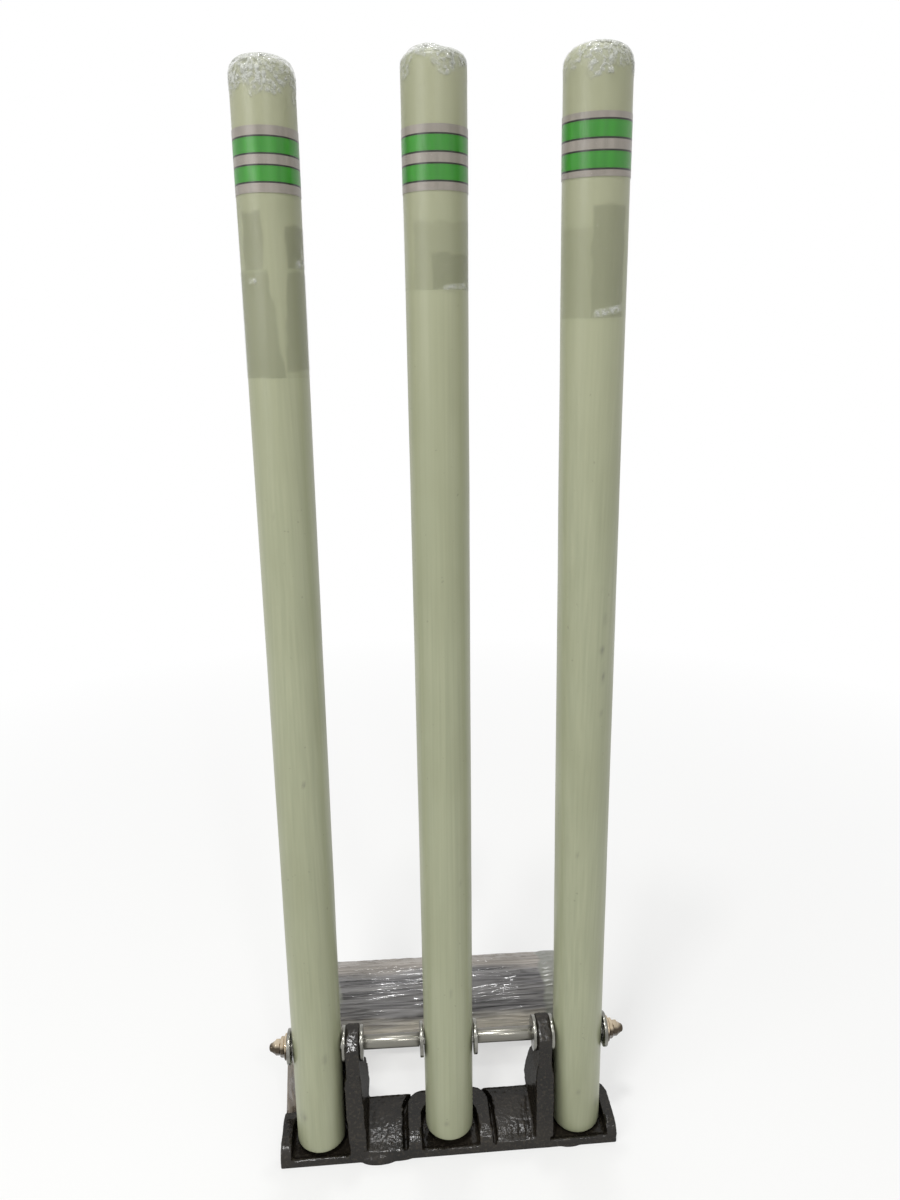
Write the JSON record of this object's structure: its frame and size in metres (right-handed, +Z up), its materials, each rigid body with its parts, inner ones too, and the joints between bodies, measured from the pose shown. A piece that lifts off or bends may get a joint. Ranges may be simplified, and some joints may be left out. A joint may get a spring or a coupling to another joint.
{
  "type": "spring-back cricket stumps",
  "caption": "Spring-back cricket stumps: painted wooden posts hinged on a cross axle in a cast-iron base, pulled upright by extension springs hooked to a rear counterweight bar.",
  "frame": {"origin": "on the underside of the base casting, on the ground under the middle of the axle", "axes": "+X along the axle, to the right as the bowler sees it; +Y the way a struck stump falls; +Z up"},
  "size_m": [0.2552, 0.1724, 0.7108],
  "materials": {
    "painted_wood": "pale green-cream gloss paint on turned wood",
    "silver_label": "silver-grey printed film label",
    "zinc_plate": "bright zinc plate",
    "nickel_plate": "warm nickel plate",
    "spring_steel": "bright drawn spring wire",
    "black_casting": "rough sand casting under dark gloss paint",
    "stretch_film": "clear stretch film in many turns"
  },
  "bodies": {
    "base": {"base_casting": "black_casting", "counterweight_bar": "black_casting", "bar_film": "stretch_film", "bar_bolt_left": "zinc_plate", "bar_bolt_right": "zinc_plate", "bar_eye_left": "zinc_plate", "bar_eye_middle": "zinc_plate", "bar_eye_right": "zinc_plate", "axle_rod": "zinc_plate", "spacer_tube_left": "zinc_plate", "spacer_tube_right": "zinc_plate", "washer_left_middle": "zinc_plate", "washer_left_ear_inner": "zinc_plate", "washer_left_ear_outer": "zinc_plate", "washer_left_outer": "zinc_plate", "washer_right_middle": "zinc_plate", "washer_right_ear_inner": "zinc_plate", "washer_right_ear_outer": "zinc_plate", "washer_right_outer": "zinc_plate", "flange_nut_left": "nickel_plate", "flange_nut_right": "nickel_plate", "dome_nut_left": "nickel_plate", "dome_nut_right": "nickel_plate", "return_spring_left": "spring_steel", "return_spring_middle": "spring_steel", "return_spring_right": "spring_steel"},
    "left_stump": {"stump_left": "painted_wood", "label_band_left": "silver_label", "foot_eye_left": "zinc_plate"},
    "middle_stump": {"stump_middle": "painted_wood", "label_band_middle": "silver_label", "foot_eye_middle": "zinc_plate"},
    "right_stump": {"stump_right": "painted_wood", "label_band_right": "silver_label", "foot_eye_right": "zinc_plate"}
  },
  "joints": [
    {"name": "left_stump_hinge", "type": "hinge", "parent": "base", "child": "left_stump", "pos_m": [-0.0938, 0, 0.087], "axis": [-1, 0, 0], "range_deg": [0, 60], "stiffness_Nm_per_rad": 1.2, "springref_deg": -28.65, "deforming": ["return_spring_left"]},
    {"name": "middle_stump_hinge", "type": "hinge", "parent": "base", "child": "middle_stump", "pos_m": [0, 0, 0.087], "axis": [-1, 0, 0], "range_deg": [0, 60], "stiffness_Nm_per_rad": 1.2, "springref_deg": -28.65, "deforming": ["return_spring_middle"]},
    {"name": "right_stump_hinge", "type": "hinge", "parent": "base", "child": "right_stump", "pos_m": [0.0938, 0, 0.087], "axis": [-1, 0, 0], "range_deg": [0, 60], "stiffness_Nm_per_rad": 1.2, "springref_deg": -28.65, "deforming": ["return_spring_right"]}
  ]
}
